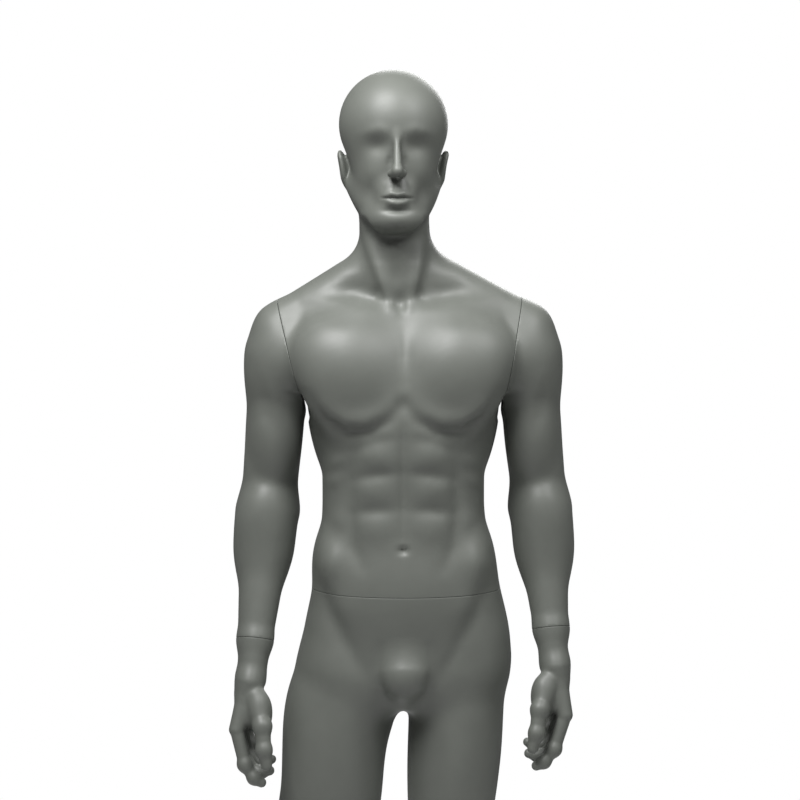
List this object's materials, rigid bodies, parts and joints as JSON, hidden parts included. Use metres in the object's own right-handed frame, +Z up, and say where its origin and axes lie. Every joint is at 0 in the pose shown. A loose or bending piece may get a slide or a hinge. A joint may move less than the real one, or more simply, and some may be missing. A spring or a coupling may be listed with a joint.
{
  "type": "display mannequin",
  "caption": "Full-size standing male display mannequin with abstract features, in lift-apart hollow shells with turning arms and hands, held by a calf rod on a square steel base.",
  "frame": {"origin": "the middle of the underside of the base pad", "axes": "+Z up, -Y where the figure faces, +X to the figure's left"},
  "size_m": [0.5305, 0.42, 1.869],
  "materials": {
    "skin_paint": "satin grey paint on fibreglass",
    "board": "bare fibreboard",
    "steel": "zinc-plated steel",
    "plate_steel": "brushed stainless steel",
    "black_plastic": "black nylon",
    "pad_rubber": "black rubber sheet"
  },
  "bodies": {
    "base": {"base_pad": "pad_rubber", "base_plate": "plate_steel", "base_foot": "steel", "base_rod": "steel", "knob_washer": "steel", "base_screw_1": "steel", "base_screw_2": "steel", "base_screw_3": "steel", "base_screw_4": "steel"},
    "thumbscrew": {"thumbscrew": "black_plastic"},
    "lower_body": {"legs_shell": "skin_paint", "calf_sleeve": "steel", "calf_rib": "board", "hip_board": "board", "waist_spigot": "steel", "waist_spigot_screw_1": "steel", "waist_spigot_screw_2": "steel", "waist_spigot_screw_3": "steel", "waist_spigot_screw_4": "steel", "waist_pin_1": "steel", "waist_pin_2": "steel"},
    "upper_body": {"torso_shell": "skin_paint", "torso_board": "board", "waist_socket": "steel", "waist_socket_screw_1": "steel", "waist_socket_screw_2": "steel", "waist_socket_screw_3": "steel", "waist_socket_screw_4": "steel", "left_shoulder_board": "board", "left_shoulder_ring": "steel", "left_shoulder_screw_1": "steel", "left_shoulder_screw_2": "steel", "left_shoulder_screw_3": "steel", "right_shoulder_board": "board", "right_shoulder_ring": "steel", "right_shoulder_screw_1": "steel", "right_shoulder_screw_2": "steel", "right_shoulder_screw_3": "steel"},
    "left_shoulder_hub": {"left_shoulder_hub": "black_plastic"},
    "left_arm": {"left_arm_shell": "skin_paint", "left_arm_board": "board", "left_arm_key": "steel", "left_arm_screw_1": "steel", "left_arm_screw_2": "steel", "left_wrist_board": "board"},
    "left_wrist_hub": {"left_wrist_hub": "black_plastic"},
    "left_hand": {"left_hand": "skin_paint", "left_hand_key": "steel"},
    "right_shoulder_hub": {"right_shoulder_hub": "black_plastic"},
    "right_arm": {"right_arm_shell": "skin_paint", "right_arm_board": "board", "right_arm_key": "steel", "right_arm_screw_1": "steel", "right_arm_screw_2": "steel", "right_wrist_board": "board"},
    "right_wrist_hub": {"right_wrist_hub": "black_plastic"},
    "right_hand": {"right_hand": "skin_paint", "right_hand_key": "steel"}
  },
  "joints": [
    {"name": "leg_lift", "type": "slide", "parent": "base", "child": "lower_body", "axis": [0, -0.309, 0.9511], "range_m": [0, 0.16]},
    {"name": "screw_turn", "type": "hinge", "parent": "base", "child": "thumbscrew", "pos_m": [0.107, 0.12693, 0.04443], "axis": [0, 0.9511, 0.309], "range_deg": [0, 1080]},
    {"name": "torso_lift", "type": "slide", "parent": "lower_body", "child": "upper_body", "axis": [0, 0, 1], "range_m": [0, 0.08]},
    {"name": "left_shoulder_turn", "type": "hinge", "parent": "upper_body", "child": "left_shoulder_hub", "pos_m": [0.227, 0.004, 1.457], "axis": [-0.9826, 0, 0.1857], "range_deg": [-45, 120]},
    {"name": "left_arm_pull", "type": "slide", "parent": "left_shoulder_hub", "child": "left_arm", "axis": [0.9826, 0, -0.1857], "range_m": [0, 0.05]},
    {"name": "left_wrist_turn", "type": "hinge", "parent": "left_arm", "child": "left_wrist_hub", "pos_m": [0.2866, -0.01919, 1.024], "axis": [0.0797, -0.2683, -0.96], "range_deg": [-30, 15]},
    {"name": "left_hand_pull", "type": "slide", "parent": "left_wrist_hub", "child": "left_hand", "axis": [0.0797, -0.2683, -0.96], "range_m": [0, 0.03]},
    {"name": "right_shoulder_turn", "type": "hinge", "parent": "upper_body", "child": "right_shoulder_hub", "pos_m": [-0.114, 0.004, 1.457], "axis": [-0.9677, 0, -0.2521], "range_deg": [-45, 120]},
    {"name": "right_arm_pull", "type": "slide", "parent": "right_shoulder_hub", "child": "right_arm", "axis": [-0.9677, 0, -0.2521], "range_m": [0, 0.05]},
    {"name": "right_wrist_turn", "type": "hinge", "parent": "right_arm", "child": "right_wrist_hub", "pos_m": [-0.16679, -0.02724, 1.008], "axis": [0.0855, 0.2916, 0.9527], "range_deg": [-30, 15]},
    {"name": "right_hand_pull", "type": "slide", "parent": "right_wrist_hub", "child": "right_hand", "axis": [-0.0855, -0.2916, -0.9527], "range_m": [0, 0.03]}
  ]
}
